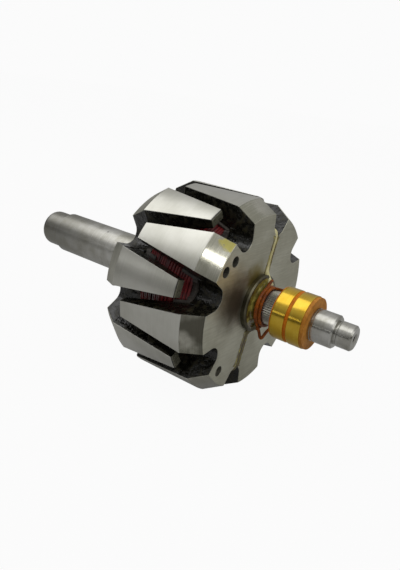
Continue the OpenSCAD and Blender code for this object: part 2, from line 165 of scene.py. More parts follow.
class Graph:
    """The node tree of one material or of the world."""

    def __init__(self, tree: bpy.types.NodeTree) -> None:
        """Start from an empty tree."""
        self.tree = tree
        self.tree.nodes.clear()

    def node(self, kind: str, settings: Optional[dict[str, Any]] = None,
             inputs: Optional[dict[Union[int, str], Input]] = None) -> bpy.types.Node:
        """Add one node.

        Args:
            kind: Blender's name of the node type.
            settings: Properties of the node, set first; "stops" fills a colour ramp.
            inputs: Values or links of its sockets, by name or number.

        Returns:
            The node.
        """
        made = self.tree.nodes.new(kind)
        for name, setting in (settings or {}).items():
            if name == "stops":
                self._fill_ramp(made.color_ramp, setting)
            else:
                setattr(made, name, setting)
        for key, value in (inputs or {}).items():
            socket = made.inputs[key]
            if isinstance(value, Value):
                self.tree.links.new(value.socket, socket)
            elif isinstance(value, (int, float)):
                socket.default_value = value
            else:
                wanted = len(socket.default_value)
                socket.default_value = (*value, 1.0)[:wanted]
        return made

    @staticmethod
    def _fill_ramp(ramp: bpy.types.ColorRamp, stops: Sequence[tuple[float, Colour]]) -> None:
        """Put places and colours on a ramp that has two stops.

        Args:
            ramp: The ramp to fill.
            stops: Its places and linear colours, two or more.
        """
        while len(ramp.elements) < len(stops):
            ramp.elements.new(0.5)
        for element, (place, colour) in zip(ramp.elements, stops):
            element.position = place
            element.color = (*colour, 1.0)

    def math(self, operation: str, *values: Number) -> Value:
        """Add a Math node and return its result."""
        made = self.node("ShaderNodeMath", {"operation": operation}, dict(enumerate(values)))
        return Value(self, made.outputs[0])

    def smooth(self, value: Number, low: float, high: float) -> Value:
        """Rise smoothly from 0 at low to 1 at high."""
        made = self.node("ShaderNodeMapRange", {"interpolation_type": "SMOOTHSTEP"},
                         {"Value": value, "From Min": low, "From Max": high})
        return Value(self, made.outputs[0])

    def greatest(self, first: Value, *others: Value) -> Value:
        """Find the greatest of several values.

        Args:
            first: One value.
            others: The values to compare it with.

        Returns:
            The greatest.
        """
        for other in others:
            first = self.math("MAXIMUM", first, other)
        return first

    def mix(self, share: Number, first: Input, second: Input) -> Value:
        """Mix two colours, the second one by the given share."""
        made = self.node("ShaderNodeMix", {"data_type": "RGBA"}, {"Factor": share, 6: first, 7: second})
        return Value(self, made.outputs[2])

    def ramp(self, value: Value, stops: Sequence[tuple[float, Colour]]) -> Value:
        """Colour that follows a value."""
        made = self.node("ShaderNodeValToRGB", {"stops": stops}, {0: value})
        return Value(self, made.outputs[0])

    def vector(self, x: Number, y: Number, z: Number) -> Value:
        """Join three values to a vector."""
        return Value(self, self.node("ShaderNodeCombineXYZ", {}, {0: x, 1: y, 2: z}).outputs[0])

    def noise(self, vector: Value, scale: float, detail: float = 3.0, roughness: float = 0.55) -> Value:
        """Cloudy noise of 0 to 1 in the given coordinates."""
        made = self.node("ShaderNodeTexNoise", {}, {"Vector": vector, "Scale": scale, "Detail": detail,
                                                   "Roughness": roughness})
        return Value(self, made.outputs[0])

    def spots(self, vector: Value, scale: float) -> Value:
        """Distance to the nearest of many scattered points."""
        made = self.node("ShaderNodeTexVoronoi", {}, {"Vector": vector, "Scale": scale})
        return Value(self, made.outputs[0])

    def attribute(self, name: str) -> Value:
        """A number that is stored on the mesh."""
        made = self.node("ShaderNodeAttribute", {"attribute_name": name})
        return Value(self, made.outputs["Fac"])

    def bump(self, height: Value, strength: float, distance: float) -> Value:
        """Normal that follows a height."""
        made = self.node("ShaderNodeBump", {}, {"Height": height, "Strength": strength, "Distance": distance})
        return Value(self, made.outputs[0])


@dataclass
class Place:
    """Where a shaded point lies on the rotor, in millimetres and in radians about the shaft."""

    vector: Value
    along: Value
    radius: Value
    turn: Value


class Finish:
    """Base of all finishes: makes the material and its coordinates. Noise scales are per millimetre."""

    name: str

    def place(self, graph: Graph) -> Place:
        """Read the place of the shaded point.

        Args:
            graph: The material's graph.

        Returns:
            Its place along the shaft, distance from the axis and angle about it.
        """
        made = graph.node("ShaderNodeTexCoord")
        scaled = graph.node("ShaderNodeVectorMath", {"operation": "SCALE"},
                            {0: Value(graph, made.outputs["Object"]), "Scale": 1 / MM})
        vector = Value(graph, scaled.outputs[0])
        parts = graph.node("ShaderNodeSeparateXYZ", {}, {0: vector})
        along, across, height = (Value(graph, out) for out in parts.outputs)
        radius = graph.math("SQRT", across * across + height * height)
        turn = graph.math("ARCTAN2", height, across)
        return Place(vector, along, radius, turn)

    def shade(self, graph: Graph, at: Place) -> dict[str, Input]:
        """Give the inputs of the Principled shader; each finish has its own."""
        raise NotImplementedError

    def material(self) -> bpy.types.Material:
        """Make the material.

        Returns:
            The new material.
        """
        made = bpy.data.materials.new(self.name)
        made.use_nodes = True
        graph = Graph(made.node_tree)
        inputs = self.shade(graph, self.place(graph))
        shader = graph.node("ShaderNodeBsdfPrincipled", {}, inputs)
        out = graph.node("ShaderNodeOutputMaterial")
        graph.tree.links.new(shader.outputs[0], out.inputs[0])
        return made


@dataclass(frozen=True)
class Rise:
    """A number that grows by a gain as a mask or noise goes from 0 to 1."""

    base: float
    gain: float

    def at(self, share: Value) -> Value:
        """The number at one share."""
        return self.base + share * self.gain


@dataclass(frozen=True)
class Tones:
    """Two tones of one surface, and the noise at which the dull one begins and ends to clear."""

    dull: Colour
    clean: Colour
    low: float = 0.36
    high: float = 0.64
    fine_share: float = 0.4

    def mix(self, graph: Graph, coarse: Value, fine: Value) -> Value:
        """Colour of a point, from a coarse and a fine noise."""
        blend = coarse * (1 - self.fine_share) + fine * self.fine_share
        return graph.mix(graph.smooth(blend, self.low, self.high), self.dull, self.clean)


@dataclass(frozen=True)
class ToolRings:
    """Fine rings that a tool left: how close they lie, and how fast they change round the shaft."""

    per_mm: float
    per_radian: float

    def noise(self, graph: Graph, at: Place) -> Value:
        """Noise that is drawn out round the shaft."""
        drawn = graph.vector(at.along * self.per_mm, at.turn * self.per_radian, at.radius * self.per_mm)
        return graph.noise(drawn, 1.0)


@dataclass(frozen=True)
class Spot:
    """A round place on the pole face: its turn, its distance from the axis and its radius."""

    turn_deg: float
    at_r: float
    radius: float

    def distance(self, graph: Graph, at: Place) -> Value:
        """Measure how far a point lies from the middle of the spot, across the face.

        Args:
            graph: The material's graph.
            at: The shaded point.

        Returns:
            The distance in millimetres.
        """
        turn = math.radians(self.turn_deg)
        parts = graph.node("ShaderNodeSeparateXYZ", {}, {0: at.vector})
        across = Value(graph, parts.outputs[1]) - self.at_r * math.cos(turn)
        height = Value(graph, parts.outputs[2]) - self.at_r * math.sin(turn)
        return graph.math("SQRT", across * across + height * height)


@dataclass(frozen=True)
class Stain:
    """A ragged stain on the pole face that fades outwards from the middle of a spot."""

    spot: Spot
    colour: Colour
    share: float
    full_share: float = 0.2
    ragged: float = 11.0
    ragged_scale: float = 0.13

    def cover(self, graph: Graph, at: Place) -> Value:
        """Find how far the stain covers a point.

        Args:
            graph: The material's graph.
            at: The shaded point.

        Returns:
            From 0 beside the stain to its full share in the middle.
        """
        wear = (graph.noise(at.vector, self.ragged_scale) - 0.5) * self.ragged
        off = self.spot.distance(graph, at) + wear
        return (1 - graph.smooth(off, self.spot.radius * self.full_share, self.spot.radius)) * self.share


@dataclass(frozen=True)
class Patch:
    """A patch on a bevel, of varnish or a painted dark reflection: its turn, half its spread in degrees, its
    reach along X and its look.

    Its edges are ragged by a share of the spread and by millimetres along X, and both ends run out softly.
    """

    turn_deg: float
    spread_deg: float
    from_x: float
    to_x: float
    colour: Colour
    share: float
    ragged_scale: float
    ragged_share: float = 2.4
    ragged_x: float = 14.0
    soft_from: float = 3.0
    soft_to: float = 0.6

    def cover(self, graph: Graph, at: Place) -> Value:
        """Find how far the patch covers a point.

        Args:
            graph: The material's graph.
            at: The shaded point.

        Returns:
            From 0 beside the patch to 1 on it.
        """
        wear = graph.noise(at.vector, self.ragged_scale) - 0.5
        spread = math.radians(self.spread_deg)
        off = abs(graph.math("WRAP", at.turn - math.radians(self.turn_deg), math.pi, -math.pi))
        beside = graph.smooth(off + wear * (spread * self.ragged_share), spread / 2, spread)
        begun = graph.smooth(at.along + wear * self.ragged_x, self.from_x, self.from_x + self.soft_from)
        ended = graph.smooth(at.along, self.to_x, self.to_x + self.soft_to)
        return (1 - beside) * begun * (1 - ended)


@dataclass
class PoleMasks:
    """How far a point lies on each worked surface of a pole half, from 0 to 1."""

    ground: Value
    face: Value
    bevel: Value
    tip: Value


@dataclass(frozen=True)
class PoleSteel(Finish):
    """Forged pole steel: ground outside, turned bevel, milled face, varnished black everywhere else.

    Sizes are in millimetres. A point counts as on a surface from skin_depth to skin_edge under it.
    """

    half: Half
    middle: float
    half_length: float
    bevel_start: float
    outside_r: float
    face_r: float
    reach: float
    bevel_rough: Rise
    drillings: tuple[Spot, ...] = ()
    stains: tuple[Stain, ...] = ()
    patches: tuple[Patch, ...] = ()
    skin_depth: float = 0.34
    skin_edge: float = 0.12
    drill_edge: tuple[float, float] = (0.05, 0.3)
    ground: Tones = Tones(srgb(182, 181, 171), srgb(202, 201, 193), fine_share=0.3)
    bevel: Tones = Tones(srgb(150, 149, 134), srgb(182, 180, 168), 0.38, 0.62)
    face: Tones = Tones(srgb(176, 174, 156), srgb(202, 201, 185))
    varnish: Colour = srgb(17, 16, 11)
    varnish_olive: Colour = srgb(50, 46, 27)
    olive_band: tuple[float, float] = (0.48, 0.72)
    matt_band: tuple[float, float] = (0.42, 0.58)
    tip_grey: Colour = srgb(128, 126, 108)
    tip_share: float = 0.85
    tip_shine: float = 0.6
    drilled: Colour = srgb(116, 114, 104)
    metal: float = 0.92
    drilled_dulling: float = 0.4
    patch_dulling: float = 0.5
    rings: ToolRings = ToolRings(4.0, 2.0)
    cloud_scale: float = 0.05
    bump_scale: float = 0.34
    wrinkle_scale: float = 1.2
    wrinkle_detail: float = 2.0
    mark_scale: float = 0.8
    mark_lean_deg: float = 38.0
    mark_stretch: tuple[float, float, float] = (1.0, 0.12, 2.6)
    varnish_rough: Rise = Rise(0.1, 0.36)
    ground_rough: Rise = Rise(0.26, 0.08)
    face_rough: Rise = Rise(0.42, 0.08)
    tip_rough: float = 0.2
    varnish_coat: float = 0.06
    bump_height: float = 4.0
    wrinkle_height: float = 0.8
    ring_height: float = 0.05
    mark_height: float = 0.08
    relief: tuple[float, float] = (0.4, 0.4 * MM)

    @property
    def name(self) -> str:
        """Name of the material."""
        return f"pole_steel_{self.half.name.lower()}"

    def _reached(self, graph: Graph, measure: Value, surface: float) -> Value:
        """Whether a measure comes as far as a surface."""
        return graph.smooth(measure, surface - self.skin_depth, surface - self.skin_edge)

    def _masks(self, graph: Graph, at: Place) -> PoleMasks:
        """Find the worked surface that a point lies on.

        Args:
            graph: The material's graph.
            at: The shaded point.

        Returns:
            The masks of the worked surfaces.
        """
        outward = (at.along - self.middle) * float(self.half.value)
        ground = self._reached(graph, at.radius, self.outside_r)
        face = self._reached(graph, outward, self.half_length)
        run = self.half_length - self.bevel_start
        drop = self.outside_r - self.face_r
        cone = (outward - self.half_length) * drop + (at.radius - self.face_r) * run
        bevel = self._reached(graph, cone / math.hypot(run, drop), 0.0) * (1 - ground) * (1 - face)
        tip = self._reached(graph, -outward, self.reach) * (1 - ground)
        return PoleMasks(ground, face, bevel, tip)

    def _mill_marks(self, graph: Graph, at: Place) -> Value:
        """Noise that is drawn out across the face, as a cutter leaves it."""
        drawn = graph.node("ShaderNodeMapping", {}, {
            "Vector": at.vector, "Rotation": (math.radians(self.mark_lean_deg), 0.0, 0.0),
            "Scale": self.mark_stretch})
        return graph.noise(Value(graph, drawn.outputs[0]), self.mark_scale)

    def _in_drillings(self, graph: Graph, at: Place) -> Value:
        """Whether a point lies on the wall or floor of a drilling."""
        low, high = self.drill_edge
        return graph.greatest(*(
            1 - graph.smooth(hole.distance(graph, at), hole.radius + low, hole.radius + high)
            for hole in self.drillings))

    def shade(self, graph: Graph, at: Place) -> dict[str, Input]:
        """Give each worked surface its own look, over the varnish.

        Args:
            graph: The material's graph.
            at: The shaded point.

        Returns:
            Inputs of the Principled shader.
        """
        on = self._masks(graph, at)
        rings = self.rings.noise(graph, at)
        cloud = graph.noise(at.vector, self.cloud_scale)
        bumps = graph.noise(at.vector, self.bump_scale)
        wrinkles = graph.noise(at.vector, self.wrinkle_scale, self.wrinkle_detail)
        marks = self._mill_marks(graph, at)

        face_colour = self.face.mix(graph, cloud, marks)
        for stain in self.stains:
            face_colour = graph.mix(stain.cover(graph, at), face_colour, stain.colour)
        colour = graph.mix(graph.smooth(bumps, *self.olive_band), self.varnish, self.varnish_olive)
        colour = graph.mix(on.tip * self.tip_share, colour, self.tip_grey)
        colour = graph.mix(on.bevel, colour, self.bevel.mix(graph, cloud, rings))
        colour = graph.mix(on.face, colour, face_colour)
        colour = graph.mix(on.ground, colour, self.ground.mix(graph, cloud, rings))

        bright = graph.greatest(on.ground, on.face, on.bevel, on.tip * self.tip_shine)
        rough = ((1 - bright) * self.varnish_rough.at(graph.smooth(bumps, *self.matt_band))
                 + on.ground * self.ground_rough.at(rings) + on.bevel * self.bevel_rough.at(cloud)
                 + on.face * self.face_rough.at(marks) + on.tip * self.tip_rough)
        if self.drillings:
            drilled = self._in_drillings(graph, at) * (1 - on.face)
            colour = graph.mix(drilled, colour, self.drilled)
            bright = graph.greatest(bright, drilled)
            metal = bright * self.metal - drilled * self.drilled_dulling
        else:
            metal = bright * self.metal
        # Bevel patches: yellow varnish, and a painted dark reflection that darkens and dulls part of a bevel.
        for patch in self.patches:
            covered = patch.cover(graph, at) * on.bevel
            colour = graph.mix(covered * patch.share, colour, patch.colour)
            metal = metal * (1 - covered * self.patch_dulling)
        height = ((bumps * self.bump_height + wrinkles * self.wrinkle_height) * (1 - bright)
                  + rings * (on.ground + on.bevel) * self.ring_height + marks * on.face * self.mark_height)
        return {
            "Base Color": colour,
            "Metallic": metal,
            "Roughness": rough,
            "Coat Weight": (1 - bright) * self.varnish_coat,
            "Normal": graph.bump(height, *self.relief),
        }


@dataclass(frozen=True)
class TurnedSteel(Finish):
    """Turned shaft steel with the fine rings that the tool left, worn at one end and polished at the other.

    The runs are places along X and the edges are distances from the axis, in millimetres.
    """

    name: str = "turned_steel"
    tones: Tones = Tones(srgb(160, 158, 148), srgb(196, 195, 190), fine_share=0.35)
    pit: Colour = srgb(74, 72, 62)
    # Near-black painted shade for the shallow hole that the lathe left at the tip.
    centre_shade: Colour = srgb(10, 10, 9)
    worn_run: tuple[float, float] = (-100.0, -40.0)
    polish_run: tuple[float, float] = (68.0, 69.0)
    centre_run: tuple[float, float] = (102.0, 102.5)
    centre_edge: tuple[float, float] = (1.8, 2.1)
    mouth_edge: tuple[float, float] = (2.7, 2.9)
    rings: ToolRings = ToolRings(6.0, 0.6)
    cloud_scale: float = 0.11
    cloud_detail: float = 4.0
    pit_scale: float = 0.16
    pit_edge: tuple[float, float] = (0.07, 0.16)
    pitted_scale: float = 0.05
    pitted_detail: float = 2.0
    pitted_band: tuple[float, float] = (0.5, 0.62)
    pit_share: float = 0.7
    worn_share: Rise = Rise(0.34, 0.34)
    roughness: Rise = Rise(0.25, 0.16)
    cloud_rough: float = 0.06
    polish: float = 0.14
    mouth_rough: float = 0.55
    relief: tuple[float, float] = (0.14, 0.12 * MM)

    def shade(self, graph: Graph, at: Place) -> dict[str, Input]:
        """Lay rings, handling marks and a few pits, a polished ring end, and painted shade that blackens the
        lathe's shallow hole at the tip.

        Args:
            graph: The material's graph.
            at: The shaded point.

        Returns:
            Inputs of the Principled shader.
        """
        rings = self.rings.noise(graph, at)
        cloud = graph.noise(at.vector, self.cloud_scale, self.cloud_detail)
        pitted = graph.noise(at.vector, self.pitted_scale, self.pitted_detail)
        pits = 1 - graph.smooth(graph.spots(at.vector, self.pit_scale), *self.pit_edge)
        pits = pits * graph.smooth(pitted, *self.pitted_band)
        worn = 1 - graph.smooth(at.along, *self.worn_run)
        grime = graph.greatest(pits * self.pit_share, worn * self.worn_share.at(cloud))
        colour = graph.mix(grime, self.tones.mix(graph, cloud, rings), self.pit)
        polished = graph.smooth(at.along, *self.polish_run)
        deep = graph.smooth(at.along, *self.centre_run)
        # Painted shade: the lathe's shallow hole at the tip is coloured near black.
        shaded_centre = deep * (1 - graph.smooth(at.radius, *self.centre_edge))
        mouth = deep * (1 - graph.smooth(at.radius, *self.mouth_edge))
        return {
            "Base Color": graph.mix(shaded_centre, colour, self.centre_shade),
            "Metallic": 1.0,
            "Roughness": (self.roughness.at(rings) + cloud * self.cloud_rough - polished * self.polish
                          + mouth * self.mouth_rough),
            "Normal": graph.bump(rings - pits, *self.relief),
        }


@dataclass(frozen=True)
class SlipBrass(Finish):
    """Polished yellow slip-ring metal with fine running lines."""

    name: str = "ring_brass"
    tones: Tones = Tones(srgb(198, 158, 44), srgb(218, 184, 70), 0.32, 0.68)
    lines: ToolRings = ToolRings(5.0, 0.4)
    cloud_scale: float = 0.12
    cloud_detail: float = 2.0
    roughness: Rise = Rise(0.16, 0.05)
    relief: tuple[float, float] = (0.05, 0.05 * MM)

    def shade(self, graph: Graph, at: Place) -> dict[str, Input]:
        """Lay fine lines round the ring over a soft cloud of tarnish.

        Args:
            graph: The material's graph.
            at: The shaded point.

        Returns:
            Inputs of the Principled shader.
        """
        lines = self.lines.noise(graph, at)
        cloud = graph.noise(at.vector, self.cloud_scale, self.cloud_detail)
        return {
            "Base Color": self.tones.mix(graph, cloud, lines),
            "Metallic": 1.0,
            "Roughness": self.roughness.at(lines),
            "Normal": graph.bump(lines, *self.relief),
        }


@dataclass(frozen=True)
class Moulded(Finish):
    """Moulded, woven or enamelled insulation with a cloudy colour and a fine grain."""

    name: str
    light: Colour
    dark: Colour
    roughness: float
    coat: float
    grain_scale: float = 1.0
    shine: float = 0.5
    tone_band: tuple[float, float] = (0.35, 0.65)
    cloud_scale: float = 0.2
    detail: float = 4.0
    grain_rough: float = 0.12
    relief: tuple[float, float] = (0.2, 0.15 * MM)

    def shade(self, graph: Graph, at: Place) -> dict[str, Input]:
        """Lay a cloudy colour with a fine grain.

        Args:
            graph: The material's graph.
            at: The shaded point.

        Returns:
            Inputs of the Principled shader.
        """
        cloud = graph.noise(at.vector, self.cloud_scale, self.detail)
        grain = graph.noise(at.vector, self.grain_scale, self.detail)
        return {
            "Base Color": Tones(self.dark, self.light, *self.tone_band).mix(graph, cloud, grain),
            "Roughness": self.roughness + grain * self.grain_rough,
            "Specular IOR Level": self.shine,
            "Coat Weight": cloud * (2 * self.coat),
            "Normal": graph.bump(grain, *self.relief),
        }


@dataclass(frozen=True)
class EnamelledWire(Finish):
    """Red enamelled winding wire under brown dipping varnish."""

    name: str = "enamelled_wire"
    red: Colour = srgb(146, 46, 48)
    deep: Colour = srgb(70, 19, 21)
    varnish: Colour = srgb(18, 8, 7)
    patch_scale: float = 0.13
    patch_band: tuple[float, float] = (0.52, 0.68)
    patch_share: float = 0.7
    roughness: Rise = Rise(0.36, -0.1)
    coat: Rise = Rise(0.2, 0.4)

    def shade(self, graph: Graph, at: Place) -> dict[str, Input]:
        """Give each turn its own tone, with dark varnish in patches.

        Args:
            graph: The material's graph.
            at: The shaded point.

        Returns:
            Inputs of the Principled shader.
        """
        patch = graph.smooth(graph.noise(at.vector, self.patch_scale), *self.patch_band)
        colour = graph.mix(graph.attribute(TONE_LAYER), self.deep, self.red)
        return {
            "Base Color": graph.mix(patch * self.patch_share, colour, self.varnish),
            "Roughness": self.roughness.at(patch),
            "Coat Weight": self.coat.at(patch),
        }


@dataclass(frozen=True)
class VarnishFilm(Finish):
    """Dried dipping varnish, olive to yellow where it stands thick."""

    name: str = "dipping_varnish"
    stops: tuple[tuple[float, Colour], ...] = (
        (0.36, srgb(88, 70, 32)), (0.52, srgb(112, 103, 44)), (0.66, srgb(160, 149, 70)))
    cloud_scale: float = 0.3
    cloud_detail: float = 4.0
    ripple_scale: float = 0.8
    roughness: Rise = Rise(0.2, 0.1)
    coat: Rise = Rise(0.4, 0.4)
    relief: tuple[float, float] = (0.25, 0.2 * MM)

    def shade(self, graph: Graph, at: Place) -> dict[str, Input]:
        """Lay a glossy, rippled film whose colour changes in patches.

        Args:
            graph: The material's graph.
            at: The shaded point.

        Returns:
            Inputs of the Principled shader.
        """
        cloud = graph.noise(at.vector, self.cloud_scale, self.cloud_detail)
        return {
            "Base Color": graph.ramp(cloud, self.stops),
            "Roughness": self.roughness.at(cloud),
            "Coat Weight": self.coat.at(cloud),
            "Normal": graph.bump(graph.noise(at.vector, self.ripple_scale), *self.relief),
        }


class Workshop:
    """Helpers that turn meshes into pieces of the rotor."""

    @staticmethod
    def piece(name: str, mesh: bmesh.types.BMesh, finish: Finish, slot: str,
              replaces: Iterable[str] = (), sharp_deg: float = 32.0) -> bpy.types.Object:
        """Make a finished piece from a bmesh.

        Args:
            name: Name of the piece.
            mesh: Its mesh, which is freed.
            finish: Its finish.
            slot: Name of a material slot; not used.
            replaces: CAD nodes that it stands for.
            sharp_deg: Angle past which an edge stays sharp.

        Returns:
            The piece, riding on the rotor.
        """
        bmesh.ops.recalc_face_normals(mesh, faces=mesh.faces)
        data = bpy.data.meshes.new(name)
        mesh.to_mesh(data)
        mesh.free()
        made = bpy.data.objects.new(name, data)
        bpy.context.scene.collection.objects.link(made)
        data.materials.append(finish.material())
        data.polygons.foreach_set("use_smooth", [True] * len(data.polygons))
        data.set_sharp_from_angle(angle=math.radians(sharp_deg))
        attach(made, ROOT)
        if replaces:
            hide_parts(*replaces)
        LOG.info("%s: %d faces", name, len(data.polygons))
        return made

    @staticmethod
    def copy_of(node: str) -> bmesh.types.BMesh:
        """Copy a CAD node's mesh, with its loose triangles joined.

        Args:
            node: Name of the CAD node.

        Returns:
            The joined copy.
        """
        mesh = bmesh.new()
        mesh.from_mesh(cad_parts[node].data)
        bmesh.ops.remove_doubles(mesh, verts=mesh.verts, dist=MERGE_DISTANCE)
        return mesh

    @staticmethod
    def soften(mesh: bmesh.types.BMesh, width: float, segments: int = 2, past_deg: float = 24.0) -> None:
        """Round the hard edges of a joined copy and take out faces that the rounding left without area.

        Args:
            mesh: The mesh to change.
            width: Width of the rounding in metres.
            segments: Steps in the rounding.
            past_deg: Angle past which an edge counts as hard.
        """
        bmesh.ops.dissolve_limit(mesh, angle_limit=math.radians(FLAT_DEG), verts=mesh.verts, edges=mesh.edges)
        hard = [edge for edge in mesh.edges
                if len(edge.link_faces) == 2 and edge.calc_face_angle(0.0) > math.radians(past_deg)]
        bmesh.ops.bevel(mesh, geom=hard, offset=width, offset_type="OFFSET", segments=segments, profile=0.5,
                        affect="EDGES", clamp_overlap=True, material=-1)
        bmesh.ops.dissolve_degenerate(mesh, dist=MERGE_DISTANCE, edges=mesh.edges)

    @staticmethod
    def outline(mesh: bmesh.types.BMesh, corners: Iterable[Sequence[float]]) -> tuple[list[Any], list[Any]]:
        """Draw a closed outline.

        Args:
            mesh: Mesh that takes it.
            corners: Its corners in order, in metres.

        Returns:
            Its vertices and its edges.
        """
        verts = [mesh.verts.new(corner) for corner in corners]
        edges = [mesh.edges.new((vert, verts[place - 1])) for place, vert in enumerate(verts)]
        return verts, edges

    @staticmethod
    def loft(mesh: bmesh.types.BMesh, sections: Sequence[Sequence[Vector]]) -> None:
        """Bridge closed sections one after the other and close both ends.

        Args:
            mesh: Mesh that takes the loft.
            sections: The corners of each section in order, in millimetres.
        """
        before: list[Any] = []
        for number, corners in enumerate(sections):
            _, edges = Workshop.outline(mesh, (corner * MM for corner in corners))
            if before:
                bmesh.ops.bridge_loops(mesh, edges=before + edges)
            if number in (0, len(sections) - 1):
                bmesh.ops.contextual_create(mesh, geom=edges)
            before = edges

    @staticmethod
    def weigh_normals(piece: bpy.types.Object) -> None:
        """Let large flat faces keep their own normals beside rounded edges."""
        weighted = piece.modifiers.new("flat_faces", "WEIGHTED_NORMAL")
        weighted.keep_sharp = True

    @staticmethod
    def dress(node: str, finish: Finish) -> None:
        """Give a CAD node that stays as it is its finish.

        Args:
            node: Name of the CAD node.
            finish: Its finish.
        """
        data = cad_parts[node].data
        data.materials.clear()
        data.materials.append(finish.material())
        LOG.info("%s: dressed as %s", node, finish.name)


@dataclass
class PolePair:
    """The two pole halves; sizes of the finishes are in millimetres."""

    edge_round: float = 0.45 * MM
    bevel_length: float = 10.0
    face_drop: float = 6.3
    reach: float = 16.2
    nodes: dict[Half, str] = field(default_factory=lambda: {
        Half.RING_END: "ring_end_pole", Half.DRIVE_END: "drive_end_pole"})
    bevel_rough: dict[Half, Rise] = field(default_factory=lambda: {
        Half.RING_END: Rise(0.1, 0.12), Half.DRIVE_END: Rise(0.34, 0.12)})
    drillings: tuple[Spot, ...] = (
        Spot(RING_TURN_DEG + 49.05, 42.54, 2.8),
        Spot(RING_TURN_DEG + 38.7, 39.48, 2.8),
        Spot(RING_TURN_DEG + 130.95, 41.6, 2.8))
    stains: tuple[Stain, ...] = (
        Stain(Spot(RING_TURN_DEG + 70.0, 24.0, 20.0), srgb(62, 50, 31), 0.84),
        Stain(Spot(RING_TURN_DEG + 16.0, 15.5, 12.0), srgb(124, 109, 26), 0.88))
    patches: tuple[Patch, ...] = (
        # Painted dark reflection over the upper part of a claw's bevel; the next patch is yellow varnish.
        Patch(RING_TURN_DEG + 85.0, 17.0, 36.0, 54.0, srgb(50, 46, 27), 0.85, 0.05),
        Patch(RING_TURN_DEG + 35.2, 4.5, 46.5, 53.0, srgb(198, 186, 70), 0.7, 0.28))

    def build(self) -> None:
        """Round each half's edges and give it its finish."""
        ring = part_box(self.nodes[Half.RING_END])
        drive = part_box(self.nodes[Half.DRIVE_END])
        middle = (ring[1].x + drive[0].x) / 2 / MM
        half_length = (ring[1].x - drive[0].x) / 2 / MM
        outside = ring[1].z / MM
        for half, node in self.nodes.items():
            mesh = Workshop.copy_of(node)
            Workshop.soften(mesh, self.edge_round)
            steel = PoleSteel(half, middle, half_length, half_length - self.bevel_length, outside,
                              outside - self.face_drop, self.reach, self.bevel_rough[half])
            if half is Half.RING_END:
                steel = replace(steel, drillings=self.drillings, stains=self.stains, patches=self.patches)
            made = Workshop.piece(f"{node}_forging", mesh, steel, "forged_steel", [node])
            Workshop.weigh_normals(made)


@dataclass
class FieldWinding:
    """The field coil, turn by turn, on its bobbin; it stands higher in the middle, as the claws leave room.

    A turn's lift is a share of the wire's radius, its tone goes from deep to red, and it wanders in waves.
    """

    wire_r: float = 0.75 * MM
    turns: int = 19
    round_steps: int = 112
    wire_sides: int = 8
    wander: float = 0.22 * MM
    waves: int = 3
    most_phase: float = 6.0
    lift: tuple[float, float] = (-0.2, 0.1)
    tones: tuple[float, float] = (0.25, 1.0)
    crown: float = 3.1 * MM
    seed: int = 5
    plastic: Finish = Moulded("bobbin_plastic", srgb(86, 80, 74), srgb(60, 55, 50), 0.45, 0.1)

    def build(self) -> None:
        """Wind the outer turns over a solid body and dress the bobbin."""
        low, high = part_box("field_coil")
        draw = random.Random(self.seed)
        mesh = bmesh.new()
        tone = mesh.verts.layers.float.new(TONE_LAYER)
        outer = high.z - self.wire_r
        self._body(mesh, tone, low.x, high.x, outer)
        for number in range(self.turns):
            share = (number + 0.5) / self.turns
            rise = self.crown * (1 - abs(2 * share - 1))
            self._turn(mesh, tone, low.x + share * (high.x - low.x), outer + rise, draw)
        Workshop.piece("field_winding", mesh, EnamelledWire(), "enamelled_wire", ["field_coil"])
        for node in ("ring_end_flange", "drive_end_flange", "bobbin_tube"):
            Workshop.dress(node, self.plastic)

    def _body(self, mesh: bmesh.types.BMesh, tone: Any, start: float, end: float, outer: float) -> None:
        """Make the mass of the winding under its outer turns.

        Args:
            mesh: Mesh that takes the body.
            tone: Layer that holds each turn's tone.
            start: Its lower end along X.
            end: Its upper end along X.
            outer: Its radius at the ends.
        """
        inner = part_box("bobbin_tube")[1].z
        middle = (start + end) / 2
        corners = ((start, inner), (start, outer), (middle, outer + self.crown), (end, outer), (end, inner))
        verts, edges = Workshop.outline(mesh, ((x, 0.0, r) for x, r in corners))
        self._revolve(mesh, verts + edges)
        for vert in mesh.verts:
            vert[tone] = 0.0

    def _turn(self, mesh: bmesh.types.BMesh, tone: Any, x: float, outer: float, draw: random.Random) -> None:
        """Make one turn of wire that wanders a little.

        Args:
            mesh: Mesh that takes the turn.
            tone: Layer that holds each turn's tone.
            x: Place of the turn along X.
            outer: Radius of the wire's middle.
            draw: Source of its small faults.
        """
        before = len(mesh.verts)
        section = bmesh.ops.create_circle(mesh, segments=self.wire_sides, radius=self.wire_r)["verts"]
        lift = draw.uniform(*self.lift) * self.wire_r
        upright = Matrix.Translation((x, 0.0, outer + lift)) @ Matrix.Rotation(math.pi / 2, 4, "X")
        bmesh.ops.transform(mesh, matrix=upright, verts=section)
        edges = list({edge for vert in section for edge in vert.link_edges})
        self._revolve(mesh, section + edges)
        mesh.verts.ensure_lookup_table()
        shade = draw.uniform(*self.tones)
        phase = draw.uniform(0.0, self.most_phase)
        for vert in mesh.verts[before:]:
            turn = math.atan2(vert.co.z, vert.co.y)
            vert.co.x += self.wander * math.sin(self.waves * turn + phase)
            vert[tone] = shade

    def _revolve(self, mesh: bmesh.types.BMesh, profile: list[Any]) -> None:
        """Turn a closed profile all the way round the shaft."""
        bmesh.ops.spin(mesh, geom=profile, cent=(0, 0, 0), axis=(1, 0, 0), angle=2 * math.pi,
                       steps=self.round_steps, use_merge=True)


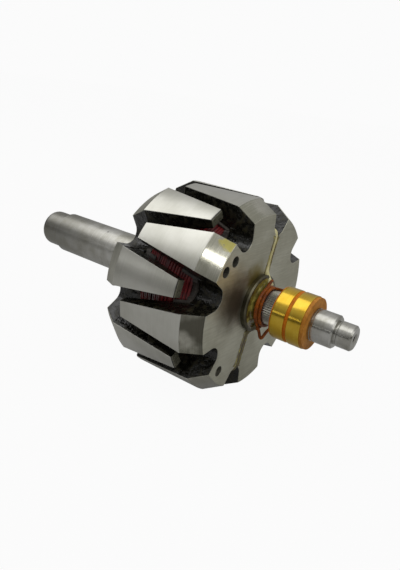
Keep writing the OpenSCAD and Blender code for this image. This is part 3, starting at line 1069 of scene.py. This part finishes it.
@dataclass
class ShaftAndCollars:
    """The shaft with the collars on it."""

    edge_round: float = 0.22 * MM
    hard_deg: float = 30.0
    spacer: Finish = TurnedSteel("spacer_steel")
    collar: Finish = TurnedSteel("collar_steel", Tones(srgb(66, 62, 46), srgb(112, 108, 90), fine_share=0.35))

    def build(self) -> None:
        """Round the shaft's edges and dress shaft and collars."""
        mesh = Workshop.copy_of("shaft")
        Workshop.soften(mesh, self.edge_round, past_deg=self.hard_deg)
        made = Workshop.piece("turned_shaft", mesh, TurnedSteel(), "turned_steel", ["shaft"])
        Workshop.weigh_normals(made)
        Workshop.dress("drive_end_spacer", self.spacer)
        Workshop.dress("ring_end_collar", self.collar)
        Workshop.dress("hub_varnish", VarnishFilm())


@dataclass
class SlipRings:
    """The slip rings on their insulating sleeve."""

    edge_round: float = 0.25 * MM
    resin: Finish = Moulded("insulating_resin", srgb(224, 132, 10), srgb(190, 98, 4), 0.5, 0.02, shine=0.2)
    rim_resin: Finish = Moulded("rim_resin", srgb(208, 142, 56), srgb(174, 110, 34), 0.5, 0.02, shine=0.2)

    def build(self) -> None:
        """Round the rings' edges and dress rings and sleeve."""
        for node in ("inner_slip_ring", "outer_slip_ring"):
            mesh = Workshop.copy_of(node)
            Workshop.soften(mesh, self.edge_round)
            made = Workshop.piece(f"{node}_polished", mesh, SlipBrass(), "ring_brass", [node])
            Workshop.weigh_normals(made)
        for node in ("slip_ring_sleeve", "inner_insulator", "ring_separator"):
            Workshop.dress(node, self.resin)
        Workshop.dress("outer_insulator", self.rim_resin)


@dataclass(frozen=True)
class GrooveLine:
    """The line of one lead groove, from the floor of its notch to the hub, in millimetres."""

    turn_deg: float
    lean_deg: float
    notch_r: float = 36.5
    hub_r: float = 13.7

    @staticmethod
    def _around(radius: float, turn_deg: float) -> Vector:
        """Place across the shaft at a radius and turn."""
        turn = math.radians(turn_deg)
        return Vector((0.0, radius * math.cos(turn), radius * math.sin(turn)))

    def at(self, share: float, x: float) -> Vector:
        """Place on the line.

        Args:
            share: 0 at the notch and 1 at the hub; it may run past both.
            x: Place along the shaft.

        Returns:
            The place in millimetres.
        """
        start = self._around(self.notch_r, self.turn_deg)
        end = self._around(self.hub_r, self.turn_deg + self.lean_deg)
        return start + (end - start) * share + Vector((x, 0.0, 0.0))

    def sideways(self) -> Vector:
        """Direction across the line, along the face."""
        return Vector((1.0, 0.0, 0.0)).cross(self.at(1.0, 0.0) - self.at(0.0, 0.0)).normalized()


UPPER_GROOVE = GrooveLine(RING_TURN_DEG - 22.5, -4.5)
LOWER_GROOVE = GrooveLine(RING_TURN_DEG + 157.5, -1.8)


@dataclass(frozen=True)
class LeadSleeve:
    """Varnish-soaked sleeving that lies in its groove, dips under the collar's edge and comes up through it.

    Lengths are in millimetres. The route gives shares of the groove's line and places along X.
    """

    node: str
    line: GrooveLine
    finish: Finish
    radius: float = 1.7
    sides: int = 12
    route: tuple[tuple[float, float], ...] = (
        (-0.075, 39.4), (-0.075, 45.0), (-0.075, 49.6), (-0.06, 51.4), (0.0, 51.8), (0.2, 51.8), (0.4, 51.8),
        (0.6, 51.8), (0.78, 52.0), (0.9, 52.9), (1.0, 54.8), (1.1, 56.9), (1.16, 57.6))

    def build(self) -> bpy.types.Object:
        """Sweep a round section along the route.

        Returns:
            The sleeve.
        """
        points = [self.line.at(share, x) for share, x in self.route]
        sideways = self.line.sideways()
        turns = [2 * math.pi * side / self.sides for side in range(self.sides)]
        sections = []
        for number, point in enumerate(points):
            ahead = points[min(number + 1, len(points) - 1)] - points[max(number - 1, 0)]
            upright = ahead.cross(sideways).normalized()
            sections.append([point + (sideways * math.cos(turn) + upright * math.sin(turn)) * self.radius
                             for turn in turns])
        mesh = bmesh.new()
        Workshop.loft(mesh, sections)
        return Workshop.piece(f"{self.node}_soaked", mesh, self.finish, "sleeve_plastic", [self.node],
                              TUBE_SHARP_DEG)


@dataclass
class Leads:
    """The two leads, with the sleeves on them and the turns round the knurl."""

    smooth_levels: int = 1
    join_face_angle: float = 0.8
    join_shape_angle: float = 1.2
    wrap_r: float = 10.15 * MM
    wrap_wire_r: float = 0.85 * MM
    wrap_from_x: float = 58.3 * MM
    wrap_turns: float = 1.9
    wrap_steps: int = 120
    wrap_sides: int = 10
    enamel: Finish = Moulded("lead_enamel", srgb(172, 90, 12), srgb(104, 48, 6), 0.42, 0.06, shine=0.25)
    sleeves: tuple[LeadSleeve, ...] = (
        LeadSleeve("upper_lead_sleeve", UPPER_GROOVE,
                   Moulded("lead_sleeving", srgb(232, 226, 178), srgb(200, 190, 130), 0.5, 0.1, 3.0)),
        LeadSleeve("lower_lead_sleeve", LOWER_GROOVE,
                   Moulded("lead_sleeving_soaked", srgb(112, 101, 46), srgb(66, 57, 26), 0.34, 0.3, 3.0)))

    def build(self) -> None:
        """Smooth each lead, lay the sleeves and wind the turns."""
        for node in ("upper_lead", "lower_lead"):
            mesh = Workshop.copy_of(node)
            bmesh.ops.join_triangles(mesh, faces=mesh.faces, angle_face_threshold=self.join_face_angle,
                                     angle_shape_threshold=self.join_shape_angle)
            made = Workshop.piece(f"{node}_smooth", mesh, self.enamel, "lead_wire", [node], TUBE_SHARP_DEG)
            self._smooth(made)
        for sleeve in self.sleeves:
            self._smooth(sleeve.build())
        self._wrap()

    def _smooth(self, piece: bpy.types.Object) -> None:
        """Round a piece between its sections."""
        rounder = piece.modifiers.new("rounder", "SUBSURF")
        rounder.levels = rounder.render_levels = self.smooth_levels

    def _wrap(self) -> None:
        """Wind the end of a lead round the knurl, turn beside turn."""
        mesh = bmesh.new()
        bmesh.ops.create_circle(mesh, cap_ends=True, segments=self.wrap_sides, radius=self.wrap_wire_r)
        bmesh.ops.translate(mesh, verts=mesh.verts, vec=(self.wrap_from_x, self.wrap_r, 0.0))
        step = 2 * self.wrap_wire_r * self.wrap_turns / self.wrap_steps
        section = mesh.verts[:] + mesh.edges[:] + mesh.faces[:]
        bmesh.ops.spin(mesh, geom=section, cent=(0, 0, 0), axis=(1, 0, 0), dvec=(step, 0, 0),
                       angle=2 * math.pi * self.wrap_turns, steps=self.wrap_steps)
        Workshop.piece("lead_wrap", mesh, self.enamel, "lead_wire", (), TUBE_SHARP_DEG)


@dataclass(frozen=True)
class VarnishBead:
    """Set varnish along both sides of one sleeve, where it fills the groove and laps over the face.

    Lengths are in millimetres. The bead follows the groove from the notch to the collar. Its lap and its
    crown go up and down in waves, and it spreads to a puddle at the notch.
    """

    name: str
    line: GrooveLine
    seed: float
    face_x: float = 53.1
    first_share: float = 0.02
    last_share: float = 0.9
    stations: int = 44
    wave_rate: float = 9.0
    side_shift: float = 3.0
    laps: tuple[float, float] = (3.0, 2.5)
    lap_wave: float = 0.6
    crown: float = 0.26
    crown_wave: float = 0.1
    puddle_share: float = 0.12
    puddle: float = 1.6
    sharp_deg: float = 50.0

    def _section(self, share: float, side: int) -> list[tuple[float, float]]:
        """Section of the bead at one place.

        Args:
            share: Place on the line, 0 at the notch and 1 at the hub.
            side: 1 or -1 for the two sides of the sleeve.

        Returns:
            Distances from the line and heights over the face, in order round the section.
        """
        wave = noise.noise(Vector((share * self.wave_rate, side * self.side_shift, self.seed)))
        spread = max(0.0, 1 - share / self.puddle_share) * self.puddle
        lap = self.laps[0 if side > 0 else 1] + self.lap_wave * wave + spread
        crown = self.crown + self.crown_wave * wave
        return [(0.7, -0.6), (0.95, -0.16), (1.35, crown * 0.7), (1.9, crown),
                (lap, 0.02), (lap - 0.4, -0.12), (1.5, -0.9)]

    def build(self, finish: Finish) -> None:
        """Bridge the sections of both sides into one piece.

        Args:
            finish: The varnish.
        """
        sideways = self.line.sideways()
        mesh = bmesh.new()
        for side in (1, -1):
            sections = []
            for number in range(self.stations + 1):
                share = self.first_share + (self.last_share - self.first_share) * number / self.stations
                middle = self.line.at(share, self.face_x)
                sections.append([middle + sideways * off * side + Vector((up, 0.0, 0.0))
                                 for off, up in self._section(share, side)])
            Workshop.loft(mesh, sections)
        Workshop.piece(self.name, mesh, finish, "set_varnish", (), self.sharp_deg)


@dataclass
class Varnish:
    """The set varnish that holds the leads."""

    beads: tuple[VarnishBead, ...] = (VarnishBead("upper_groove_varnish", UPPER_GROOVE, 1.7),
                                      VarnishBead("lower_groove_varnish", LOWER_GROOVE, 6.2))

    def build(self) -> None:
        """Lay every bead."""
        for bead in self.beads:
            bead.build(VarnishFilm(f"{bead.name}_film"))


@dataclass(frozen=True)
class Lamp:
    """A flat lamp that looks at the rotor: its place, width, height and power."""

    at: tuple[float, float, float]
    width: float
    height: float
    watts: float


@dataclass
class Studio:
    """Floor, lamps, world and camera.

    The room's tones follow the height of the direction that is looked in, from level to straight up.
    """

    camera_at: Vector = field(default_factory=lambda: Vector((0.17225, -0.23553, 0.10177)))
    azimuth_deg: float = 33.495
    elevation_deg: float = 20.227
    roll_deg: float = 7.948
    focal_px: float = 535.4
    picture_height_px: float = 570.0
    sensor: float = 36.0
    clip_start: float = 0.01
    floor_size: float = 12.0
    floor_white: float = 0.42
    floor_glow: float = 0.95
    mirrored_glow: float = 0.1
    backdrop: float = 0.965
    room: tuple[tuple[float, Colour], ...] = (
        (0.0, (0.06, 0.06, 0.055)), (0.25, (0.14, 0.14, 0.135)), (0.6, (0.46, 0.46, 0.455)),
        (1.0, (0.74, 0.74, 0.73)))
    behind: float = 0.55
    behind_share: float = 0.55
    behind_band: tuple[float, float] = (0.1, 0.9)
    lamps: dict[Light, Lamp] = field(default_factory=lambda: {
        Light.KEY: Lamp((-0.6, -0.19, 0.97), 1.0, 1.0, 3.5),
        Light.FILL: Lamp((0.95, -0.1, 0.65), 0.9, 0.9, 2.2),
        Light.SIDE: Lamp((-0.55, -0.88, 0.24), 0.7, 0.05, 0.22),
        Light.TOP: Lamp((0.62, -0.6, 0.81), 0.15, 0.15, 0.6),
    })

    def build(self) -> None:
        """Set the stage."""
        self._floor()
        self._world()
        self._lamps()
        self._camera()
        bpy.context.scene.view_settings.view_transform = "Standard"

    def _seen(self, graph: Graph) -> Value:
        """Find how much of the floor's glow a ray shows.

        Args:
            graph: Graph of the floor's paint.

        Returns:
            The share for a straight ray, one through glass or, dimmer, one that metal mirrors.
        """
        path = graph.node("ShaderNodeLightPath")
        straight, through, mirrored = (Value(graph, path.outputs[name])
                                       for name in ("Is Camera Ray", "Is Transmission Ray", "Is Glossy Ray"))
        return graph.greatest(straight * self.floor_glow, through * self.floor_glow,
                              mirrored * self.mirrored_glow)

    def _floor(self) -> None:
        """Make the pale floor under the lowest claw."""
        mesh = bmesh.new()
        bmesh.ops.create_grid(mesh, x_segments=1, y_segments=1, size=self.floor_size / 2)
        bmesh.ops.translate(mesh, verts=mesh.verts, vec=(0, 0, CAD_BOX[0].z))
        data = bpy.data.meshes.new("floor")
        mesh.to_mesh(data)
        mesh.free()
        floor = bpy.data.objects.new("floor", data)
        bpy.context.scene.collection.objects.link(floor)
        paint = bpy.data.materials.new("floor_paint")
        paint.use_nodes = True
        graph = Graph(paint.node_tree)
        matt = graph.node("ShaderNodeBsdfDiffuse", {}, {"Color": (self.floor_white,) * 3})
        glow = graph.node("ShaderNodeEmission", {}, {"Color": (1.0, 1.0, 1.0), "Strength": 1.0})
        both = graph.node("ShaderNodeMixShader", {}, {0: self._seen(graph), 1: Value(graph, matt.outputs[0]),
                                                     2: Value(graph, glow.outputs[0])})
        out = graph.node("ShaderNodeOutputMaterial")
        graph.tree.links.new(both.outputs[0], out.inputs[0])
        data.materials.append(paint)

    def _world(self) -> None:
        """Light from a room that darkens to the horizon, is paler behind, and looks as pale as the floor."""
        world = bpy.data.worlds.new("room")
        world.use_nodes = True
        bpy.context.scene.world = world
        graph = Graph(world.node_tree)
        made = graph.node("ShaderNodeTexCoord")
        parts = graph.node("ShaderNodeSeparateXYZ", {}, {0: Value(graph, made.outputs["Generated"])})
        _, across, height = (Value(graph, out) for out in parts.outputs)
        behind = graph.smooth(across, *self.behind_band) * self.behind_share
        room = graph.mix(behind, graph.ramp(height, self.room), (self.behind,) * 3)
        path = graph.node("ShaderNodeLightPath")
        seen = graph.mix(Value(graph, path.outputs["Is Camera Ray"]), room, (self.backdrop,) * 3)
        back = graph.node("ShaderNodeBackground", {}, {"Color": seen, "Strength": 1.0})
        out = graph.node("ShaderNodeOutputWorld")
        graph.tree.links.new(back.outputs[0], out.inputs[0])

    def _lamps(self) -> None:
        """Hang the soft lamps, each turned to the rotor."""
        for light, lamp in self.lamps.items():
            data = bpy.data.lights.new(light.value, "AREA")
            data.shape = "RECTANGLE"
            data.size = lamp.width
            data.size_y = lamp.height
            data.energy = lamp.watts
            hung = bpy.data.objects.new(light.value, data)
            hung.location = lamp.at
            hung.rotation_euler = (-Vector(lamp.at)).to_track_quat("-Z", "Y").to_euler()
            bpy.context.scene.collection.objects.link(hung)

    def _camera(self) -> None:
        """Place the camera where the picture was taken."""
        data = bpy.data.cameras.new("camera")
        data.sensor_width = self.sensor
        data.lens = self.focal_px / self.picture_height_px * self.sensor
        data.clip_start = self.clip_start
        camera = bpy.data.objects.new("camera", data)
        aim = Euler((math.radians(90 - self.elevation_deg), 0.0, math.radians(self.azimuth_deg)))
        roll = Matrix.Rotation(math.radians(self.roll_deg), 4, "Z")
        camera.matrix_world = Matrix.Translation(self.camera_at) @ aim.to_matrix().to_4x4() @ roll
        bpy.context.scene.collection.objects.link(camera)
        bpy.context.scene.camera = camera


def main() -> None:
    """Dress every sub-assembly, then set the stage."""
    logging.basicConfig(level=logging.INFO, format="%(name)s: %(message)s")
    assemblies = (PolePair(), FieldWinding(), ShaftAndCollars(), SlipRings(), Leads(), Varnish(), Studio())
    for assembly in assemblies:
        assembly.build()
        LOG.info("%s done", type(assembly).__name__)


if __name__ == "__main__":
    main()
